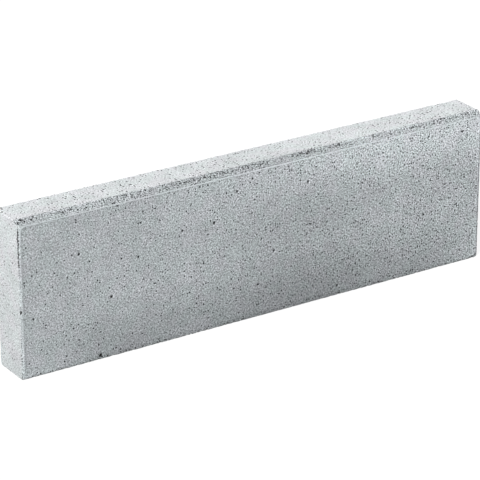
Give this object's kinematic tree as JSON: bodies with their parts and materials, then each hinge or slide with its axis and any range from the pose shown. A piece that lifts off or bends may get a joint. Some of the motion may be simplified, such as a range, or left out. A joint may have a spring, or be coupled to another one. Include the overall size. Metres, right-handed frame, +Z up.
{
  "type": "concrete kerb stone",
  "caption": "Straight concrete kerb stone with a chamfered top front edge and a pressed front panel inside a thin raised rim.",
  "frame": {"origin": "middle of the bed, the narrow underside that the stone stands on", "axes": "+X along the stone, -Y out of the pressed front panel, +Z up"},
  "size_m": [1, 0.08, 0.3],
  "materials": {
    "concrete": "matt pale grey concrete with a fine sandy grain and small open pores"
  },
  "bodies": {
    "root": {"kerb_stone": "concrete"}
  },
  "joints": []
}
